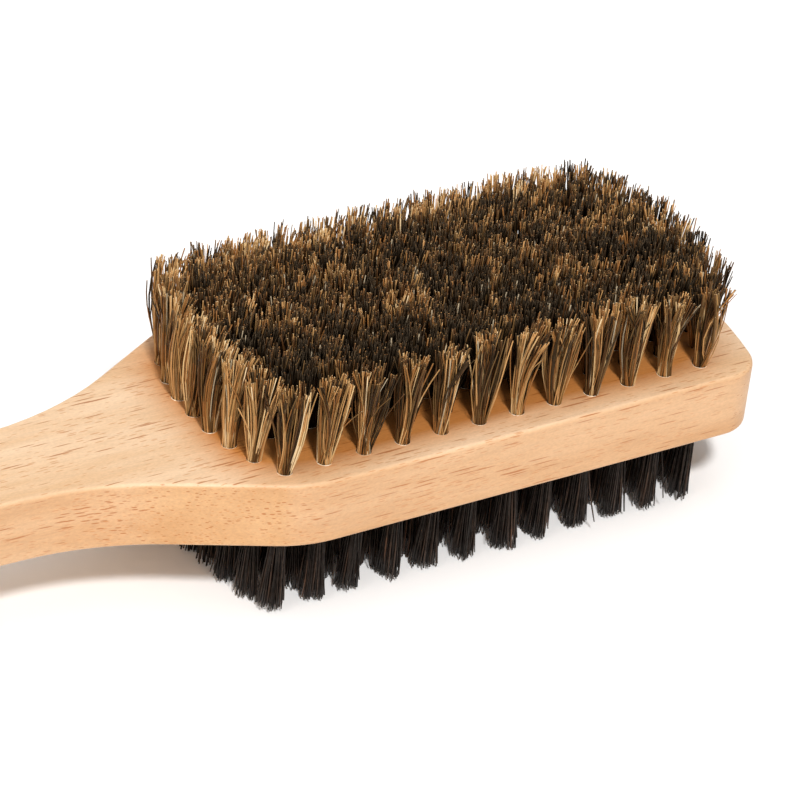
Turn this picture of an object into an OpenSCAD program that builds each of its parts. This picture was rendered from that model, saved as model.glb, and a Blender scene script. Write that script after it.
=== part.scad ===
// Double-sided body dry brush: a one-piece wooden board with a short handle, natural bristle tufts on
// the upper face and black bristle tufts on the lower face, each tuft folded over a flat wire anchor.
// Millimetres, +Z up. The origin is under the middle of the brush, at the tips of the lower bristles.

/* [Wooden body] */
// Overall length, handle end to head end
overall_length = 252; // [236:1:270]
// Width of the head
head_width = 71; // [70:0.5:72]
// Thickness of the board
thickness = 16.25; // [15:0.25:19]
// Rounding of the long edges
edge_radius = 1; // [0.8:0.1:2]
// Radius of the hollow between shoulder and handle
hollow_radius = 78; // [72:1:80]
// Width of the handle where the hollows are deepest
neck_width = 26.8; // [26.4:0.2:29]
// How far the handle's centreline lies to the back of the head's
handle_shift = -2; // [-2:0.5:0]
// Radius of the handle's end
handle_end_radius = 12.5; // [12:0.5:13]
// Radius of the head's free end, seen from above
end_radius = 120; // [105:1:160]
// Radius of the two corners at the free end
corner_radius = 10; // [8:0.5:11]
// Diameter of the hanging hole
hang_hole_d = 6; // [4:0.5:8]

/* [Bristle field] */
// Distance between tufts in the outer rows
tuft_pitch = 10; // [9.7:0.1:10.1]
// Distance between rows
row_pitch = 6.95; // [6.8:0.05:7]
// Extra length of the middle row at each end, on the upper face
top_bulge = 7.3; // [6:0.1:8]
// Extra length of the middle row at each end, on the lower face
bottom_bulge = 4.5; // [3:0.1:8]
// Diameter of a tuft hole
hole_d = 3.5; // [3:0.1:3.6]
// Depth of a tuft hole
hole_depth = 6.5; // [5:0.1:7]

/* [Bristles] */
// Free length of the natural bristles
top_length = 22; // [16:0.5:26]
// Free length of the black bristles
bottom_length = 20.25; // [16:0.25:26]
// Diameter of a tuft at its tips
tip_d = 6.4; // [4.5:0.1:6.6]
// How far the outermost natural tufts lean out at their tips
top_splay = 0.4; // [0:0.1:3]

/* [Anchors] */
// Thickness of the flat anchor wire
wire_t = 0.45; // [0.3:0.05:0.6]
// Width of the flat anchor wire
wire_w = 1.8; // [1.4:0.1:2.2]

/* [Hidden] */

wood_c = [0.9, 0.74, 0.54];
natural_c = [0.36, 0.26, 0.15];
black_c = [0.06, 0.05, 0.05];
wire_c = [0.72, 0.72, 0.7];

rows = 9;
outer_count = 12;
bulge_power = 2.5; // 2 makes the field's ends parabolas; more makes their corners rounder
field_inset = 72.5; // from the head's free end to the middle of the field
hole_clearance = 0.05; // between a bundle and its hole
wire_clearance = 0.01; // between an anchor and the bundle, and between it and the hole
fold_t = 0.7; // bristle folded under the wire
past = 1; // how far a drill shape runs past the face that it cuts
half_l = overall_length / 2;
half_w = head_width / 2;
z_low = bottom_length;
z_high = bottom_length + thickness;

// Each side of the outline is five arcs and the straight lines that touch them. Side 1 is the back,
// side -1 the front, which is drawn mirrored. The back shoulder starts later when the handle is shifted.
corner_y = half_w - corner_radius;
end_cx = half_l - end_radius;
corner_x = end_cx + sqrt(pow(end_radius - corner_radius, 2) - pow(corner_y, 2));
corner_a = atan2(corner_y, corner_x - end_cx);
shoulder_r = 30.5;
neck_at = 67;
shoulder_at = 134;
function shoulder_c(side) = [-half_l + shoulder_at - handle_shift * (side + 1), half_w - shoulder_r];
function hollow_c(side) =
    [-half_l + neck_at, neck_width / 2 + side * handle_shift + hollow_radius];
function handle_c(side) = [-half_l + handle_end_radius, side * handle_shift];

// Angle of the line between two circles that touches them on opposite sides: d joins their centres.
function touching_angle(d, radii, turn) = atan2(d[1], d[0]) + turn * asin(min(1, radii / norm(d)));
function slope_a(side) =
    touching_angle(shoulder_c(side) - hollow_c(side), hollow_radius + shoulder_r, 1);
function handle_a(side) =
    touching_angle(hollow_c(side) - handle_c(side), hollow_radius + handle_end_radius, -1);

// Points on an arc round c, pulled in by e along the outline's normal: bend is 1 outside, -1 in a hollow.
function arc(c, r, a0, a1, n, e, bend) =
    [for (i = [0:n]) let (a = a0 + (a1 - a0) * i / n) c + (r - bend * e) * [cos(a), sin(a)]];

function half_outline(e, side) = concat(
    arc([end_cx, 0], end_radius, 0, corner_a, 5, e, 1),
    arc([corner_x, corner_y], corner_radius, corner_a, 90, 9, e, 1),
    arc(shoulder_c(side), shoulder_r, 90, 90 + slope_a(side), 6, e, 1),
    arc(hollow_c(side), hollow_radius, -90 + slope_a(side), -90 + handle_a(side), 8, e, -1),
    arc(handle_c(side), handle_end_radius, 90 + handle_a(side), 180, 11, e, 1));

function other_half(p) = [for (i = [len(p) - 2:-1:1]) [p[i][0], -p[i][1]]];

// Consecutive arcs meet at shared points only where the arcs touch directly.
function without_repeats(p) =
    [for (i = [0:len(p) - 1]) if (i == 0 || norm(p[i] - p[i - 1]) > 0.001) p[i]];

function outline(e) =
    concat(without_repeats(half_outline(e, 1)), other_half(without_repeats(half_outline(e, -1))));

// Half length of the tuft row at y: both ends of the field bow outwards. Side 1 is the upper face,
// side -1 the lower face.
function row_half(y, side) = tuft_pitch * (outer_count - 1) / 2
    + (side > 0 ? top_bulge : bottom_bulge)
        * (1 - pow(abs(y) / (row_pitch * (rows - 1) / 2), bulge_power));
function row_y(j) = (j - (rows + 1) / 2) * row_pitch;
function row_count(j) = (j == 1 || j == rows) ? outer_count : outer_count + 1;
field_x = half_l - field_inset;
function tuft_xy(j, i, side) =
    [field_x + row_half(row_y(j), side) * (2 * i / (row_count(j) - 1) - 1), row_y(j)];

// Puts its children at every tuft mouth of row j, with their +Z out of the face.
module at_row(j, side) {
    for (i = [0:row_count(j) - 1])
        translate(concat(tuft_xy(j, i, side), side > 0 ? z_high : z_low))
            mirror([0, 0, side > 0 ? 0 : 1]) children();
}

module rounded_board() {
    steps = 4;
    levels = concat(
        [for (k = [0:steps]) [edge_radius * (1 - sin(90 * k / steps)),
            z_low + edge_radius * (1 - cos(90 * k / steps))]],
        [for (k = [steps:-1:0]) [edge_radius * (1 - sin(90 * k / steps)),
            z_high - edge_radius * (1 - cos(90 * k / steps))]]);
    rings = [for (l = levels) [for (p = outline(l[0])) [p[0], p[1], l[1]]]];
    n = len(rings[0]);
    m = len(rings);
    polyhedron(
        points = [for (r = rings) for (p = r) p],
        faces = concat(
            [[for (i = [0:n - 1]) i]],
            [for (k = [0:m - 2]) for (i = [0:n - 1])
                [k * n + i, (k + 1) * n + i, (k + 1) * n + (i + 1) % n, k * n + (i + 1) % n]],
            [[for (i = [n - 1:-1:0]) (m - 1) * n + i]]));
}

module hang_hole() {
    chamfer = 0.8;
    skin = 0.01;
    ahead = 2.5; // of the centre of the handle's round end
    hole_r = hang_hole_d / 2;
    translate(concat(handle_c(1) + [ahead, 0], 0)) {
        translate([0, 0, z_low - past]) cylinder(r = hole_r, h = thickness + 2 * past, $fn = 48);
        translate([0, 0, z_low - skin])
            cylinder(r1 = hole_r + chamfer, r2 = hole_r, h = chamfer, $fn = 48);
        translate([0, 0, z_high - chamfer + skin])
            cylinder(r1 = hole_r, r2 = hole_r + chamfer, h = chamfer, $fn = 48);
    }
}

module tuft_holes(side) {
    for (j = [1:rows]) at_row(j, side)
        translate([0, 0, -hole_depth]) cylinder(d = hole_d, h = hole_depth + past, $fn = 24);
}

// The bundle in its hole is straight. Above the face it opens as a cone that leans by `lean`.
module tuft(length, lean) {
    root_r = hole_d / 2 - hole_clearance;
    collar = 0.3; // straight bundle above the face
    cone_foot = 0.6; // how deep in the hole the cone starts
    cone_r = root_r - 0.2;
    difference() {
        union() {
            translate([0, 0, -hole_depth]) cylinder(r = root_r, h = hole_depth + collar, $fn = 24);
            rotate(a = atan(norm(lean) / length), v = norm(lean) > 0 ? [-lean[1], lean[0], 0] : [0, 0, 1])
                translate([0, 0, -cone_foot])
                    cylinder(r1 = cone_r, r2 = tip_d / 2, h = length + cone_foot, $fn = 24);
        }
        anchor(wire_clearance);
    }
}

// Flat wire staple across the bottom of the hole, with the bundle folded under it.
module anchor(gap) {
    half_span = hole_d / 2 - wire_clearance;
    translate([-half_span - gap, -wire_t / 2 - gap, fold_t - hole_depth - gap])
        cube([2 * (half_span + gap), wire_t + 2 * gap, wire_w + 2 * gap]);
}

module tuft_row(j, side) {
    length = side > 0 ? top_length : bottom_length;
    for (i = [0:row_count(j) - 1]) {
        p = tuft_xy(j, i, side);
        lean = side > 0 ? top_splay * [(p[0] - field_x) / row_half(0, 1), p[1] / row_y(rows)] : [0, 0];
        translate(concat(p, side > 0 ? z_high : z_low)) mirror([0, 0, side > 0 ? 0 : 1])
            tuft(length, lean);
    }
}

module anchor_row(j, side) {
    at_row(j, side) anchor(0);
}

module wooden_body() {
    color(wood_c) difference() {
        rounded_board();
        hang_hole();
        tuft_holes(1);
        tuft_holes(-1);
    }
}

module top_tuft_row_1() { color(natural_c) tuft_row(1, 1); }
module top_tuft_row_2() { color(natural_c) tuft_row(2, 1); }
module top_tuft_row_3() { color(natural_c) tuft_row(3, 1); }
module top_tuft_row_4() { color(natural_c) tuft_row(4, 1); }
module top_tuft_row_5() { color(natural_c) tuft_row(5, 1); }
module top_tuft_row_6() { color(natural_c) tuft_row(6, 1); }
module top_tuft_row_7() { color(natural_c) tuft_row(7, 1); }
module top_tuft_row_8() { color(natural_c) tuft_row(8, 1); }
module top_tuft_row_9() { color(natural_c) tuft_row(9, 1); }

module bottom_tuft_row_1() { color(black_c) tuft_row(1, -1); }
module bottom_tuft_row_2() { color(black_c) tuft_row(2, -1); }
module bottom_tuft_row_3() { color(black_c) tuft_row(3, -1); }
module bottom_tuft_row_4() { color(black_c) tuft_row(4, -1); }
module bottom_tuft_row_5() { color(black_c) tuft_row(5, -1); }
module bottom_tuft_row_6() { color(black_c) tuft_row(6, -1); }
module bottom_tuft_row_7() { color(black_c) tuft_row(7, -1); }
module bottom_tuft_row_8() { color(black_c) tuft_row(8, -1); }
module bottom_tuft_row_9() { color(black_c) tuft_row(9, -1); }

module top_anchors_row_1() { color(wire_c) anchor_row(1, 1); }
module top_anchors_row_2() { color(wire_c) anchor_row(2, 1); }
module top_anchors_row_3() { color(wire_c) anchor_row(3, 1); }
module top_anchors_row_4() { color(wire_c) anchor_row(4, 1); }
module top_anchors_row_5() { color(wire_c) anchor_row(5, 1); }
module top_anchors_row_6() { color(wire_c) anchor_row(6, 1); }
module top_anchors_row_7() { color(wire_c) anchor_row(7, 1); }
module top_anchors_row_8() { color(wire_c) anchor_row(8, 1); }
module top_anchors_row_9() { color(wire_c) anchor_row(9, 1); }

module bottom_anchors_row_1() { color(wire_c) anchor_row(1, -1); }
module bottom_anchors_row_2() { color(wire_c) anchor_row(2, -1); }
module bottom_anchors_row_3() { color(wire_c) anchor_row(3, -1); }
module bottom_anchors_row_4() { color(wire_c) anchor_row(4, -1); }
module bottom_anchors_row_5() { color(wire_c) anchor_row(5, -1); }
module bottom_anchors_row_6() { color(wire_c) anchor_row(6, -1); }
module bottom_anchors_row_7() { color(wire_c) anchor_row(7, -1); }
module bottom_anchors_row_8() { color(wire_c) anchor_row(8, -1); }
module bottom_anchors_row_9() { color(wire_c) anchor_row(9, -1); }

wooden_body();
top_tuft_row_1();
top_tuft_row_2();
top_tuft_row_3();
top_tuft_row_4();
top_tuft_row_5();
top_tuft_row_6();
top_tuft_row_7();
top_tuft_row_8();
top_tuft_row_9();
bottom_tuft_row_1();
bottom_tuft_row_2();
bottom_tuft_row_3();
bottom_tuft_row_4();
bottom_tuft_row_5();
bottom_tuft_row_6();
bottom_tuft_row_7();
bottom_tuft_row_8();
bottom_tuft_row_9();
top_anchors_row_1();
top_anchors_row_2();
top_anchors_row_3();
top_anchors_row_4();
top_anchors_row_5();
top_anchors_row_6();
top_anchors_row_7();
top_anchors_row_8();
top_anchors_row_9();
bottom_anchors_row_1();
bottom_anchors_row_2();
bottom_anchors_row_3();
bottom_anchors_row_4();
bottom_anchors_row_5();
bottom_anchors_row_6();
bottom_anchors_row_7();
bottom_anchors_row_8();
bottom_anchors_row_9();
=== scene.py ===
import math
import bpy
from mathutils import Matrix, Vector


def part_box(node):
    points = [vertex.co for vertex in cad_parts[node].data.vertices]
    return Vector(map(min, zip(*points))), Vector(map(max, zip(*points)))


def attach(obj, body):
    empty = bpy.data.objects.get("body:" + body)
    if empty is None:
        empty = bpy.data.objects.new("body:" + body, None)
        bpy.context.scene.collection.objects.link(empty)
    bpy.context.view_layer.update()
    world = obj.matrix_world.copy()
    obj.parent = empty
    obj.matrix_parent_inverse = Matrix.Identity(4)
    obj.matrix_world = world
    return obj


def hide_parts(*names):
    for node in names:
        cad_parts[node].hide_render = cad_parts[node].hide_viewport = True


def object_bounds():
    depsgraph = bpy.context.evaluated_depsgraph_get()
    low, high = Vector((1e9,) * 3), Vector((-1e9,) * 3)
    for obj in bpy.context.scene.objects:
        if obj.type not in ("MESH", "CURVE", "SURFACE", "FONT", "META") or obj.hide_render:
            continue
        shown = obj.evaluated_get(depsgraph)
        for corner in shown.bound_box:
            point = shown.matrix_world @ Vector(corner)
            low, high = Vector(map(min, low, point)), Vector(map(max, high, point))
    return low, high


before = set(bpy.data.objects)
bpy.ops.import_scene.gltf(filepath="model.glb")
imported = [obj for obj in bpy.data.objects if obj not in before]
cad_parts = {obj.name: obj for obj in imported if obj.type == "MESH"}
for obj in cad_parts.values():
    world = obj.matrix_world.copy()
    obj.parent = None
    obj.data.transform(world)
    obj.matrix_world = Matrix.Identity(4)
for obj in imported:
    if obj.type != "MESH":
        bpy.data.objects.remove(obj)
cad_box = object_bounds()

from types import SimpleNamespace

import bmesh
import bpy
import numpy as np
from mathutils import Matrix, Vector

MM = 0.001
ROWS = 9
MIDDLE_ROW = 5
TUFT_PITCH = 10 * MM
HOLE_R = 1.75 * MM
random = np.random.default_rng(7)

board_low, board_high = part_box("wooden_body")


# ---------------------------------------------------------------- shader helpers


def srgb(r, g, b):
    """An sRGB colour, 0 to 255, as the linear colour a shader takes."""
    channels = [c / 255 for c in (r, g, b)]
    linear = [c / 12.92 if c <= 0.04045 else ((c + 0.055) / 1.055) ** 2.4 for c in channels]
    return (*linear, 1.0)


def grey(brightness):
    """A linear grey."""
    return (brightness, brightness, brightness, 1.0)


def new_material(name):
    """A node material, its node tree and its Principled shader."""
    mat = bpy.data.materials.new(name)
    mat.use_nodes = True
    return mat, mat.node_tree, mat.node_tree.nodes["Principled BSDF"]


def feed(tree, socket, source):
    """Links an input socket to source if that is an output socket, and sets it to source otherwise."""
    if isinstance(source, bpy.types.NodeSocket):
        tree.links.new(source, socket)
    else:
        socket.default_value = source


def add_node(tree, kind, inputs=None, **settings):
    """A new node with its settings, and with its named or numbered inputs fed."""
    node = tree.nodes.new(kind)
    for key, setting in settings.items():
        setattr(node, key, setting)
    for key, source in (inputs or {}).items():
        feed(tree, node.inputs[key], source)
    return node


def calc(tree, operation, *inputs, clamp=False):
    """The result of a Math node on numbers or sockets, as a socket."""
    numbered = dict(enumerate(inputs))
    return add_node(tree, "ShaderNodeMath", numbered, operation=operation, use_clamp=clamp).outputs[0]


def map_range(tree, source, low, high, to_low=0.0, to_high=1.0):
    """A socket that goes from to_low to to_high while source goes from low to high, and stays there beyond."""
    limits = {"Value": source, "From Min": low, "From Max": high, "To Min": to_low, "To Max": to_high}
    return add_node(tree, "ShaderNodeMapRange", limits).outputs[0]


def noise(tree, vector, scale=1.0, detail=2.0, roughness=0.5):
    """Noise from about 0.3 to 0.7, as a socket."""
    inputs = {"Vector": vector, "Scale": scale, "Detail": detail, "Roughness": roughness}
    return add_node(tree, "ShaderNodeTexNoise", inputs).outputs["Fac"]


def ramp(tree, source, stops):
    """A colour ramp of (position, colour) stops on a socket, as its colour socket."""
    node = add_node(tree, "ShaderNodeValToRGB", {"Fac": source})
    elements = node.color_ramp.elements
    for element, (position, colour) in zip(elements, stops):
        element.position = position
        element.color = colour
    for position, colour in stops[len(elements):]:
        elements.new(position).color = colour
    return node.outputs["Color"]


def mix(tree, share, a, b, blend="MIX"):
    """Colour a blended with colour b by share, as a colour socket. A Mix node's colours are inputs 6 and 7."""
    inputs = {0: share, 6: a, 7: b}
    return add_node(tree, "ShaderNodeMix", inputs, data_type="RGBA", blend_type=blend).outputs[2]


def object_coords(tree):
    """The place on the piece, in metres, as a vector socket."""
    return add_node(tree, "ShaderNodeTexCoord").outputs["Object"]


def stretched(tree, size, stretch, flatness=1.0):
    """The place in units of size, drawn out along the grain, which runs along X, and pressed flat in Z."""
    inputs = {"Vector": object_coords(tree), "Scale": (1 / (size * stretch), 1 / size, flatness / size)}
    return add_node(tree, "ShaderNodeMapping", inputs).outputs["Vector"]


# ---------------------------------------------------------------- materials


def pores(tree, size, stretch, least, most):
    """Cut wood vessels: thin dashes along the grain, 1 in a dash and 0 beside it. They come in drifts, where
    their reach goes from least to most of a cell."""
    drift_size = 9 * size
    soft_edge = 0.09
    cells = stretched(tree, size, stretch, flatness=1.45)
    nearest = add_node(tree, "ShaderNodeTexVoronoi", {"Vector": cells, "Scale": 1.0}).outputs["Distance"]
    drift = noise(tree, stretched(tree, drift_size, 3), detail=1.0)
    reach = map_range(tree, drift, 0.33, 0.67, least, most)
    return map_range(tree, calc(tree, "SUBTRACT", reach, nearest), 0.0, soft_edge)


def painted_shade_among_tufts(tree, field):
    """1 on the wood between the tufts, where the shadow of the bristles is painted, falling to 0 outside the
    field, whose outline is a rounded rectangle.
    """
    squareness = 4.0
    full_within = 0.93
    none_beyond = 1.4
    axes = add_node(tree, "ShaderNodeSeparateXYZ", {"Vector": object_coords(tree)})
    along = calc(tree, "ABSOLUTE", calc(tree, "SUBTRACT", axes.outputs["X"], field.centre_x))
    beyond = calc(tree, "MAXIMUM", calc(tree, "SUBTRACT", along, field.half_x - field.half_y), 0.0)
    across = calc(tree, "ABSOLUTE", axes.outputs["Y"])
    powers = [calc(tree, "POWER", calc(tree, "DIVIDE", d, field.half_y), squareness) for d in (beyond, across)]
    reach = calc(tree, "POWER", calc(tree, "ADD", *powers), 1 / squareness)
    near = map_range(tree, reach, none_beyond, full_within)
    return calc(tree, "MULTIPLY", near, near)


def grain_tint_and_painted_shade(tree, field):
    """How the wood's colour differs from place to place: paler on the flat faces and darker on the sides, a
    painted shade that evens out the stronger light on the sides, warmer where the shoulders cut across the
    grain, and darkened with painted shade between the tufts, where the bristles shadow the wood."""
    normal = add_node(tree, "ShaderNodeNewGeometry").outputs["Normal"]
    axes = add_node(tree, "ShaderNodeSeparateXYZ", {"Vector": normal})
    # 0 on a side that runs along the grain, and 1 once it turns 35 degrees towards the handle's end
    cut_across = calc(tree, "MULTIPLY_ADD", axes.outputs["X"], -3.5, -1.0, clamp=True)
    flat = calc(tree, "MULTIPLY", axes.outputs["Z"], axes.outputs["Z"])
    # painted shade: the sides are darker than the flat faces, which evens out the stronger light that falls on
    # them
    side = mix(tree, cut_across, srgb(224, 211, 193), srgb(214, 192, 152))
    # painted shade: the wood between the tufts is darker and warmer, where the bristles shadow it
    face = mix(tree, painted_shade_among_tufts(tree, field), srgb(251, 255, 255), srgb(217, 170, 112))
    return mix(tree, flat, side, face)


def wood_material(field):
    """Sanded rubberwood: pale honey, streaked along the grain, with fine brown vessel lines."""
    mat, tree, shader = new_material("rubberwood")
    bands = noise(tree, stretched(tree, 8 * MM, 7), detail=3.0, roughness=0.6)
    fine = noise(tree, stretched(tree, 0.6 * MM, 22), roughness=0.6)
    fuzz = noise(tree, stretched(tree, 0.4 * MM, 2), detail=1.0)
    body = ramp(tree, bands, [(0.3, srgb(222, 181, 141)), (0.7, srgb(238, 205, 173))])
    streaks = ramp(tree, fine, [(0.3, grey(0.94)), (0.68, grey(1.02))])
    sanded = ramp(tree, fuzz, [(0.35, grey(0.95)), (0.65, grey(1.03))])
    # the tint holds the wood's warmer end grain, and painted shade on the sides and between the tufts
    colour = mix(tree, 1.0, body, grain_tint_and_painted_shade(tree, field), "MULTIPLY")
    colour = mix(tree, 1.0, colour, streaks, "MULTIPLY")
    colour = mix(tree, 1.0, colour, sanded, "MULTIPLY")
    long_pores = pores(tree, size=0.9 * MM, stretch=16, least=0.13, most=0.32)
    small_pores = pores(tree, size=0.62 * MM, stretch=7, least=0.18, most=0.33)
    colour = mix(tree, small_pores, colour, mix(tree, 0.5, colour, srgb(182, 110, 48)))
    colour = mix(tree, long_pores, colour, mix(tree, 0.78, colour, srgb(160, 92, 36)))
    height = calc(tree, "SUBTRACT", fine, long_pores)
    bump = add_node(tree, "ShaderNodeBump", {"Strength": 0.2, "Distance": 0.06 * MM, "Height": height})
    feed(tree, shader.inputs["Base Color"], colour)
    feed(tree, shader.inputs["Roughness"], map_range(tree, fine, 0.0, 1.0, 0.36, 0.56))
    feed(tree, shader.inputs["Normal"], bump.outputs["Normal"])
    feed(tree, shader.inputs["IOR"], 1.45)
    return mat


def torn_wood_material():
    """Raw pale wood, where the drill tore the fibres at a hole's rim."""
    mat, tree, shader = new_material("torn_wood")
    shreds = noise(tree, stretched(tree, 0.3 * MM, 3))
    colour = ramp(tree, shreds, [(0.35, srgb(236, 206, 168)), (0.6, srgb(252, 238, 218))])
    feed(tree, shader.inputs["Base Color"], colour)
    feed(tree, shader.inputs["Roughness"], 0.8)
    return mat


def bristle_material(name, colour, shine, gleam):
    """One tone of bristle. Its gloss varies along the fibre, as the scales of a hair make it."""
    mat, tree, shader = new_material(name)
    scales = noise(tree, object_coords(tree), scale=900.0)
    feed(tree, shader.inputs["Specular IOR Level"], map_range(tree, scales, 0.3, 0.7, 0.4 * shine, 1.2 * shine))
    feed(tree, shader.inputs["Specular Tint"], gleam)
    feed(tree, shader.inputs["Base Color"], colour)
    feed(tree, shader.inputs["Roughness"], 0.36)
    return mat


def natural_materials():
    """Natural bristle from almost black to straw, in turn more olive and more red, and last a pale grey."""
    tones = [(22, 16, 10), (36, 24, 14), (50, 37, 22), (77, 50, 27), (102, 76, 45), (139, 94, 51),
             (160, 122, 75), (186, 141, 90), (202, 169, 121), (216, 190, 150), (160, 146, 122)]
    gleam = srgb(228, 200, 164)
    return [bristle_material(f"natural_bristle_{i}", srgb(*tone), shine=0.36, gleam=gleam)
            for i, tone in enumerate(tones)]


def black_materials():
    """Dyed black bristle, from black to the dark brown of fibres that took less dye."""
    tones = [(12, 9, 8), (19, 14, 12), (32, 23, 18), (54, 40, 32), (80, 56, 42)]
    gleam = srgb(232, 212, 196)
    return [bristle_material(f"black_bristle_{i}", srgb(*tone), shine=0.4, gleam=gleam)
            for i, tone in enumerate(tones)]


def wire_material():
    """Drawn steel wire."""
    mat, tree, shader = new_material("anchor_wire")
    feed(tree, shader.inputs["Specular IOR Level"], noise(tree, stretched(tree, 0.1 * MM, 30)))
    feed(tree, shader.inputs["Base Color"], srgb(190, 190, 186))
    feed(tree, shader.inputs["Metallic"], 1.0)
    feed(tree, shader.inputs["Roughness"], 0.32)
    return mat


# ---------------------------------------------------------------- board


def add_piece(name, mesh, materials, nodes):
    """Puts a finished mesh in the scene as a piece that rides on the brush and stands for CAD nodes."""
    piece = bpy.data.objects.new(name, mesh)
    bpy.context.scene.collection.objects.link(piece)
    for mat in materials:
        mesh.materials.append(mat)
    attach(piece, "root")
    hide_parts(*nodes)
    return piece


def tuft_field():
    """The middle and the half sizes of the field of tufts, from the anchors' rows."""
    low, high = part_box(f"top_anchors_row_{MIDDLE_ROW}")
    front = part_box("top_anchors_row_1")[0].y
    return SimpleNamespace(centre_x=(low.x + high.x) / 2, half_x=(high.x - low.x) / 2, half_y=-front)


def tuft_mouths(row, side):
    """Where the tufts of a row leave the board, from the row of anchors in the holes' bottoms."""
    low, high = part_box(f"{side}_anchors_row_{row}")
    first, last = low.x + HOLE_R, high.x - HOLE_R
    count = round((last - first) / TUFT_PITCH) + 1
    face = board_high.z if side == "top" else board_low.z
    return [Vector((x, (low.y + high.y) / 2, face)) for x in np.linspace(first, last, count)]


def add_rim(bm, mouth, up):
    """The torn rim of one tuft hole: a low, uneven lip of raw fibres, highest towards the front left."""
    segments = 24
    torn_side = math.radians(235)
    width = 0.28 * MM
    height = 0.16 * MM
    foot = 0.02 * MM
    angles = [2 * math.pi * i / segments for i in range(segments)]
    roughness = random.uniform(0.1, 1.0)
    torn = [max(0.0, math.cos(a - torn_side)) * random.uniform(0.3, 1.0) * roughness
            + random.uniform(0, 0.06) for a in angles]
    rings = []
    for out, lift in ((0.0, foot), (0.0, height), (width, foot)):
        ring = []
        for a, t in zip(angles, torn):
            radius = HOLE_R + out * t
            offset = Vector((radius * math.cos(a), radius * math.sin(a), up * lift * t))
            ring.append(bm.verts.new(mouth + offset))
        rings.append(ring)
    for inner, outer in zip(rings, rings[1:]):
        for i in range(segments):
            j = (i + 1) % segments
            corners = [inner[i], outer[i], outer[j], inner[j]]
            face = bm.faces.new(corners if up > 0 else corners[::-1])
            face.material_index = 1
            face.smooth = True


def make_board(materials):
    """The board keeps the CAD shape. Its facets are welded and shaded as the rounds that they stand for."""
    weld = 0.002 * MM
    sharpest_round = math.radians(40)
    bm = bmesh.new()
    bm.from_mesh(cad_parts["wooden_body"].data)
    bmesh.ops.remove_doubles(bm, verts=bm.verts, dist=weld)
    for face in bm.faces:
        face.smooth = True
        face.material_index = 0
    for edge in bm.edges:
        edge.smooth = edge.calc_face_angle(math.pi) < sharpest_round
    for row in range(1, ROWS + 1):
        for side, up in (("top", 1), ("bottom", -1)):
            for mouth in tuft_mouths(row, side):
                add_rim(bm, mouth, up)
    mesh = bpy.data.meshes.new("board")
    bm.to_mesh(mesh)
    bm.free()
    if mesh.attributes.get("custom_normal"):
        mesh.attributes.remove(mesh.attributes["custom_normal"])
    board = add_piece("board", mesh, materials, ["wooden_body"])
    normals = board.modifiers.new("flat faces stay flat", "WEIGHTED_NORMAL")
    normals.keep_sharp = True


# ---------------------------------------------------------------- fibres


def packed_disc(count, radius):
    """Points spread evenly over a disc, with a little disorder."""
    golden_angle = math.pi * (3 - math.sqrt(5))
    disorder = 0.05 * radius
    i = np.arange(count) + 0.5
    angle = i * golden_angle + random.uniform(0, 2 * math.pi)
    points = radius * np.sqrt(i / count)[:, None] * np.stack([np.cos(angle), np.sin(angle)], -1)
    return points + random.normal(0, disorder, points.shape)


def gathered_roots(count, locks, lock_reach):
    """The fibres' roots over a hole, each fibre's lock, and the roots of the locks, which reach to lock_reach
    of the hole's radius."""
    fibre_reach = 0.92
    root = packed_disc(count, HOLE_R * fibre_reach)
    lock_root = packed_disc(locks, HOLE_R * lock_reach)
    lock = np.argmin(np.linalg.norm(root[:, None] - lock_root[None], axis=-1), axis=1)
    return root, lock, lock_root


def fibre_radii(count, rings, thinnest, thickest):
    """Each fibre's radius at its rings. The tip is a little thinner."""
    tip_share = 0.8
    radii = random.uniform(thinnest, thickest, (count, 1)) * np.ones((1, rings))
    radii[:, -1] *= tip_share
    return radii


def fibre_paths(mouth, root, tip, height, bend, hook, rings, opening, upright=0.0):
    """Spines from just inside the hole to the tips: bent in the middle by bend, turned at the tip by hook. A
    larger opening parts them later, and upright, 0 to 1, stands their ends up again."""
    inside = 2 * MM
    along = np.concatenate([[-inside / abs(float(np.mean(height)))], np.linspace(0, 1, rings - 1)])
    rise = np.clip(along, 0, 1)
    spread = (1 - upright) * rise ** opening + upright * np.sin(math.pi / 2 * rise) ** opening
    path = np.zeros((len(root), rings, 3))
    path[:, :, :2] = (root[:, None] + (tip - root)[:, None] * spread[None, :, None]
                      + bend[:, None] * np.sin(math.pi * rise)[None, :, None]
                      + hook[:, None] * (rise ** 5)[None, :, None])
    path[:, :, 2] = height[:, None] * along[None, :]
    return path + np.array(mouth)


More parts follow.
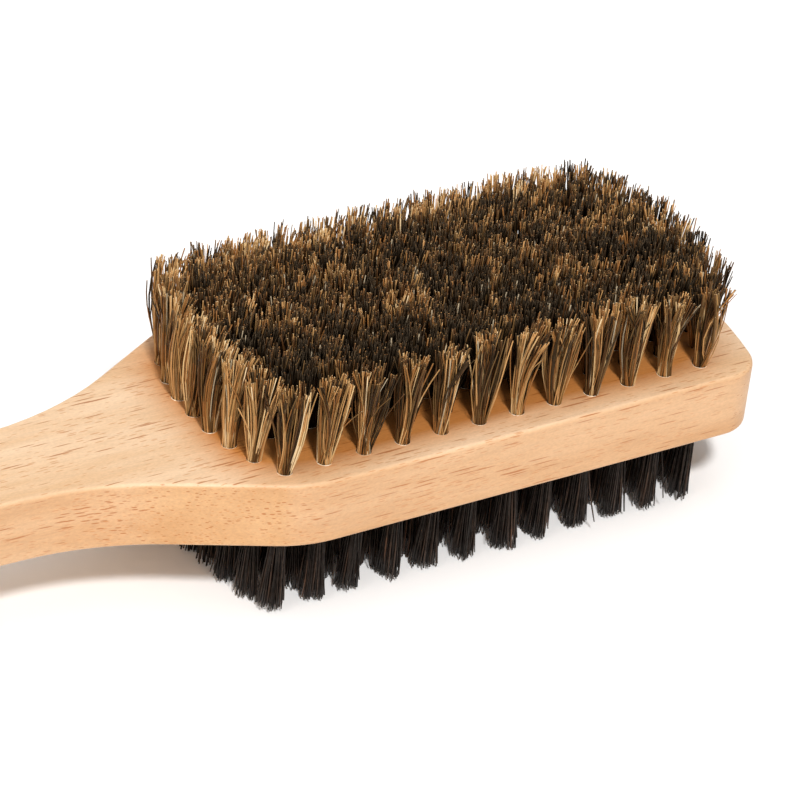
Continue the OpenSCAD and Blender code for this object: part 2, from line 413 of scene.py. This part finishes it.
def fibres_mesh(name, spines, radii, tones):
    """Closed four-sided fibres: spines is fibres x rings x 3, radii fibres x rings, and tones, also fibres x
    rings, the material of each span and, last, of the cut end."""
    count, rings = radii.shape
    sides = 4
    turn = random.uniform(0, 2 * math.pi, (count, 1)) + np.arange(sides) * 2 * math.pi / sides
    around = np.stack([np.cos(turn), np.sin(turn), np.zeros_like(turn)], -1)
    points = spines[:, :, None, :] + radii[:, :, None, None] * around[:, None, :, :]
    first = np.arange(count)[:, None, None] * rings * sides + np.arange(rings - 1)[None, :, None] * sides
    a = first + np.arange(sides)
    b = first + (np.arange(sides) + 1) % sides
    walls = np.stack([a, b, b + sides, a + sides], -1).reshape(-1, 4)
    start = np.arange(count)[:, None] * rings * sides
    roots = start + np.arange(sides)[::-1]
    tips = start + (rings - 1) * sides + np.arange(sides)
    faces = np.concatenate([walls, roots, tips])
    materials = np.concatenate([np.repeat(tones[:, :-1].ravel(), sides), tones[:, 0], tones[:, -1]])
    smooth = np.arange(len(faces)) < len(walls)
    points_down = spines[0, -1, 2] < spines[0, 0, 2]
    if points_down:
        faces = faces[:, ::-1]
    mesh = bpy.data.meshes.new(name)
    mesh.vertices.add(count * rings * sides)
    mesh.vertices.foreach_set("co", points.astype(np.float32).ravel())
    mesh.loops.add(faces.size)
    mesh.loops.foreach_set("vertex_index", faces.astype(np.int32).ravel())
    mesh.polygons.add(len(faces))
    mesh.polygons.foreach_set("loop_start", np.arange(0, faces.size, 4, dtype=np.int32))
    mesh.polygons.foreach_set("material_index", materials.astype(np.int32))
    mesh.polygons.foreach_set("use_smooth", smooth)
    mesh.update(calc_edges=True)
    return mesh


# ---------------------------------------------------------------- natural bristles

# How a natural tuft stands. fan spreads its locks in X and Y, apart the fibres of a lock, and wander is how far
# locks stray. opening and upright are those of fibre_paths. tone_spread is how much tufts differ in tone.
BROOM = SimpleNamespace(count=100, fan=(2.9, 2.4), apart=1.1, wander=0.7 * MM, strays=0.1,
                        opening=2.0, upright=0.15, tone_spread=0.3)
DENSE = SimpleNamespace(count=130, fan=(4.1, 2.7), apart=2.6, wander=0.45 * MM, strays=0.05,
                        opening=1.6, upright=0.75, tone_spread=0.8)
NATURAL_LOCKS = 13
NATURAL_RINGS = 7
# Tones are places in the list of natural_materials, dark to pale. A lock's tone is added to its tuft's.
LOCK_TONES = [-2.4, -0.6, 0.9, 2.3]
LOCK_TONE_SHARES = [0.32, 0.27, 0.27, 0.14]
STRAW = 9
PALE_GREY = 10
PALE_GREY_SHARE = 0.008


def natural_shape(mouth, lean, length, style):
    """Spines and radii of one natural tuft, and each fibre's lock. The fibres gather in locks, bend, cross and
    end unevenly, and a few stray."""
    stray_reach = 3.4 * MM
    stray_shortening = 5 * MM
    trim = 0.7 * MM
    uneven = 0.35 * MM
    count = style.count
    fan = np.array(style.fan) * random.uniform(0.92, 1.08)
    root, lock, lock_root = gathered_roots(count, NATURAL_LOCKS, lock_reach=0.85)
    lock_tip = (lock_root * fan + lean + random.normal(0, 0.4 * MM, 2)
                + random.normal(0, style.wander, (NATURAL_LOCKS, 2)))
    tip = (lock_tip[lock] + (root - lock_root[lock]) * style.apart
           + random.normal(0, 0.25 * MM, (count, 2)))
    stray = random.random(count) < style.strays
    tip[stray] += random.uniform(-stray_reach, stray_reach, (stray.sum(), 2))
    lock_height = random.normal(0, style.wander / 2, NATURAL_LOCKS) + random.normal(0, uneven)
    height = length - trim + lock_height[lock] + random.normal(0, uneven, count)
    height[stray] -= random.uniform(0, stray_shortening, stray.sum())
    fibre_bend = random.normal(0, 0.33 * MM, (count, 2))
    bend = fibre_bend + random.normal(0, style.wander, (NATURAL_LOCKS, 2))[lock]
    hook = random.normal(0, 0.4 * MM, (count, 2))
    path = fibre_paths(mouth, root, tip, height, bend, hook, NATURAL_RINGS, style.opening, style.upright)
    return path, fibre_radii(count, NATURAL_RINGS, 0.135 * MM, 0.2 * MM), lock


def natural_tones(lock, shade, tip_shade, style):
    """The tones of one natural tuft along its fibres. Their mean goes from shade to tip_shade, they differ by
    tuft, lock and fibre, and the cut ends are paler, a painted highlight for the glints where they catch the
    light."""
    lock_spread = 0.4
    fibre_spread = 1.15
    fade_spread = 0.6
    palest_end = 5
    evened_out = 0.6
    count = len(lock)
    lock_tone = random.choice(LOCK_TONES, NATURAL_LOCKS, p=LOCK_TONE_SHARES)
    lock_tone = lock_tone + random.normal(0, lock_spread, NATURAL_LOCKS)
    tone = random.normal(0, style.tone_spread) + (lock_tone - evened_out * lock_tone.mean())[lock]
    tone = tone + random.normal(0, fibre_spread, count)
    spans = NATURAL_RINGS - 1
    fade = (random.normal(0, fade_spread, (count, 1)) * np.linspace(-1, 1, spans)[None, :]
            + np.linspace(shade, tip_shade, spans)[None, :])
    # painted highlight: the cut ends are paler, as glints where they catch the light
    cut_end_glint = tone + tip_shade + random.uniform(0, palest_end, count)
    tones = np.clip(np.round(np.column_stack([tone[:, None] + fade, cut_end_glint])), 0, STRAW).astype(int)
    tones[random.random(count) < PALE_GREY_SHARE] = PALE_GREY
    return tones


def natural_tuft(mouth, lean, length, shade, tip_shade, style):
    """Spines, radii and tones of one natural tuft."""
    path, radii, lock = natural_shape(mouth, lean, length, style)
    return path, radii, natural_tones(lock, shade, tip_shade, style)


def make_natural_row(row, materials, length, field):
    """One row of natural tufts. Those on the border are paler and darker towards their tips, and the mat's
    tufts are
    darker: partly the bristles' own tone, partly painted light on the open border and painted shade in the
    crowded mat. The mat gets paler towards the back. The front row and the tufts next to the handle open like
    brooms. The tufts at a row's ends lean inwards."""
    mouths = tuft_mouths(row, "top")
    last = len(mouths) - 1
    lean_x = {0: 1.3 * MM, last: -0.8 * MM}
    shift = {0: 0.5, last: -1.0}
    mat_tip_shade = 1.4 + 0.25 * (row - MIDDLE_ROW)
    tufts = []
    for i, mouth in enumerate(mouths):
        lean = np.array([lean_x.get(i, 0.0), 0.4 * MM * mouth.y / field.half_y])
        on_border = i in (0, last) or row in (1, ROWS)
        # partly painted light and shade: paler border tufts that darken towards their tips, and a darker
        # crowded mat
        shade, tip_shade = (6.1, 4.3) if on_border else (2.0, mat_tip_shade)
        style = BROOM if row == 1 or i == 0 else DENSE
        more = shift.get(i, 0.0)
        tufts.append(natural_tuft(mouth, lean, length, shade + more, tip_shade + more, style))
    mesh = fibres_mesh(f"natural_bristles_{row}", *[np.concatenate(part) for part in zip(*tufts)])
    add_piece(f"natural_bristles_{row}", mesh, materials, [f"top_tuft_row_{row}"])


# ---------------------------------------------------------------- black bristles

BLACK_COUNT = 80
BLACK_LOCKS = 9
BLACK_RINGS = 6
# How often each of the first tones in the list of black_materials is drawn, and the place of the last one
BLACK_TONE_SHARES = [0.46, 0.33, 0.19, 0.02]
DARK_BROWN = 4


def black_tuft(mouth, length, fan, shade):
    """Spines, radii and tones of one black tuft: straight fibres, trimmed almost level. Its locks spread by
    fan, and a few short fibres stray and are browner."""
    stray_share = 0.07
    stray_spread = 1.1 * MM
    short_share = 0.05
    shortening = 3 * MM
    count = BLACK_COUNT
    root, lock, lock_root = gathered_roots(count, BLACK_LOCKS, lock_reach=0.8)
    tip = (lock_root[lock] * fan + (root - lock_root[lock]) * 1.7 + random.normal(0, 0.3 * MM, 2)
           + random.normal(0, 0.35 * MM, (BLACK_LOCKS, 2))[lock] + random.normal(0, 0.15 * MM, (count, 2)))
    stray = random.random(count) < stray_share
    tip[stray] += random.normal(0, stray_spread, (stray.sum(), 2))
    trim = (np.abs(random.normal(0, 0.25 * MM, count)) + random.uniform(0, 0.8 * MM, BLACK_LOCKS)[lock]
            + random.uniform(0, 0.5 * MM))
    short = stray | (random.random(count) < short_share)
    trim[short] += random.uniform(0, shortening, short.sum())
    bend = random.normal(0, 0.2 * MM, (count, 2))
    hook = random.normal(0, 0.15 * MM, (count, 2))
    path = fibre_paths(mouth, root, tip, trim - length, bend, hook, BLACK_RINGS, opening=1.1)
    radii = fibre_radii(count, BLACK_RINGS, 0.17 * MM, 0.24 * MM)
    tone = random.choice(len(BLACK_TONE_SHARES), count, p=BLACK_TONE_SHARES) + shade
    tone[stray] += 0.7
    fade = np.linspace(0.0, 1.0, BLACK_RINGS)[None, :] ** 2 * random.uniform(0, 2.4, (count, 1))
    tones = np.clip(np.round(tone[:, None] + fade), 0, DARK_BROWN).astype(int)
    return path, radii, tones


def make_black_row(row, materials, length):
    """One row of black tufts. Those in the front row and next to the handle are slim columns, and the others
    fan wider and are a little browner, painted light so that they show in the shade behind the front row."""
    tufts = []
    for i, mouth in enumerate(tuft_mouths(row, "bottom")):
        # painted light: the tufts behind the front row are a little browner, so that they show in their shade
        fan, shade = (1.7, 0.0) if row == 1 or i == 0 else (3.0, 0.7)
        tufts.append(black_tuft(mouth, length, fan, shade))
    mesh = fibres_mesh(f"black_bristles_{row}", *[np.concatenate(part) for part in zip(*tufts)])
    add_piece(f"black_bristles_{row}", mesh, materials, [f"bottom_tuft_row_{row}"])


# ---------------------------------------------------------------- studio


def make_camera():
    """A long lens from the front left, tilted a little, with the end of the handle outside the picture."""
    azimuth, elevation, roll = math.radians(-34.87), math.radians(33.04), math.radians(6.58)
    distance = 946 * MM
    target = Vector((36.5 * MM, -13.55 * MM, board_high.z))
    back = Vector((math.sin(azimuth) * math.cos(elevation), -math.cos(azimuth) * math.cos(elevation),
                   math.sin(elevation)))
    level = Vector((math.cos(azimuth), math.sin(azimuth), 0))
    upright = back.cross(level)
    right = math.cos(roll) * level + math.sin(roll) * upright
    up = -math.sin(roll) * level + math.cos(roll) * upright
    data = bpy.data.cameras.new("camera")
    data.sensor_width = 36.0
    data.lens = 190.8
    data.clip_start = 0.05
    data.clip_end = 20.0
    camera = bpy.data.objects.new("camera", data)
    rotation = Matrix((right, up, back)).transposed()
    camera.matrix_world = Matrix.Translation(target + back * distance) @ rotation.to_4x4()
    bpy.context.scene.collection.objects.link(camera)
    bpy.context.scene.camera = camera


def soft_light(name, direction, strength, angle, colour):
    """Even light that comes from far away in a direction. The angle is how large the source looks, in
    degrees."""
    data = bpy.data.lights.new(name, "SUN")
    data.energy = strength * math.pi
    data.angle = math.radians(angle)
    data.color = colour
    light = bpy.data.objects.new(name, data)
    light.rotation_euler = (-Vector(direction)).to_track_quat("-Z", "Y").to_euler()
    bpy.context.scene.collection.objects.link(light)


def floor_material():
    """A white floor, very slightly blue against the warm light."""
    mat, tree, shader = new_material("floor")
    grain = add_node(tree, "ShaderNodeTexNoise", {"Scale": 40.0}).outputs["Fac"]
    colour = ramp(tree, grain, [(0.3, (0.94, 0.95, 0.97, 1)), (0.7, (0.96, 0.97, 0.99, 1))])
    feed(tree, shader.inputs["Base Color"], colour)
    feed(tree, shader.inputs["Roughness"], 0.9)
    return mat


def make_floor():
    """A wide round floor just under the lower bristles."""
    clearance = 0.2 * MM
    mesh = bpy.data.meshes.new("floor")
    bm = bmesh.new()
    bmesh.ops.create_circle(bm, cap_ends=True, segments=64, radius=6.0)
    bm.to_mesh(mesh)
    bm.free()
    mesh.materials.append(floor_material())
    floor = bpy.data.objects.new("floor", mesh)
    floor.location.z = cad_box[0].z - clearance
    bpy.context.scene.collection.objects.link(floor)


def make_world():
    """Surroundings that are almost white at the horizon and a warm grey overhead."""
    world = bpy.data.worlds.new("studio")
    world.use_nodes = True
    sky = world.node_tree
    direction = add_node(sky, "ShaderNodeTexCoord").outputs["Generated"]
    up = add_node(sky, "ShaderNodeSeparateXYZ", {"Vector": direction}).outputs["Z"]
    walls = ramp(sky, up, [(0.08, (0.98, 0.94, 0.9, 1)), (0.3, (0.46, 0.41, 0.36, 1)),
                           (1.0, (0.24, 0.22, 0.2, 1))])
    feed(sky, sky.nodes["Background"].inputs["Color"], walls)
    bpy.context.scene.world = world


def make_studio():
    """The floor, the surroundings and three soft lights, with the key light from the front left."""
    make_floor()
    make_world()
    soft_light("top", (-0.2, 0.2, 1.0), strength=0.2, angle=60, colour=(0.96, 1.0, 1.04))
    soft_light("key", (-0.36, -1.0, 1.35), strength=0.87, angle=7, colour=(1.0, 0.985, 0.96))
    soft_light("fill", (-1.0, -0.3, 0.5), strength=0.25, angle=40, colour=(1.0, 0.97, 0.93))
    view = bpy.context.scene.view_settings
    view.view_transform = "Standard"
    view.look = "None"
    view.exposure = 0.0


# ---------------------------------------------------------------- the brush


def make_bristles(field):
    """All rows of bristles, as long as the CAD tufts."""
    top_length = cad_box[1].z - board_high.z
    bottom_length = board_low.z - cad_box[0].z
    natural = natural_materials()
    black = black_materials()
    for row in range(1, ROWS + 1):
        make_natural_row(row, natural, top_length, field)
        make_black_row(row, black, bottom_length)


def dress_anchors():
    """The anchors keep the CAD shape and get the wire."""
    wire = wire_material()
    for name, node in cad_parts.items():
        if "anchors" in name:
            node.data.materials.clear()
            node.data.materials.append(wire)


field = tuft_field()
make_camera()
make_board([wood_material(field), torn_wood_material()])
make_bristles(field)
dress_anchors()
make_studio()
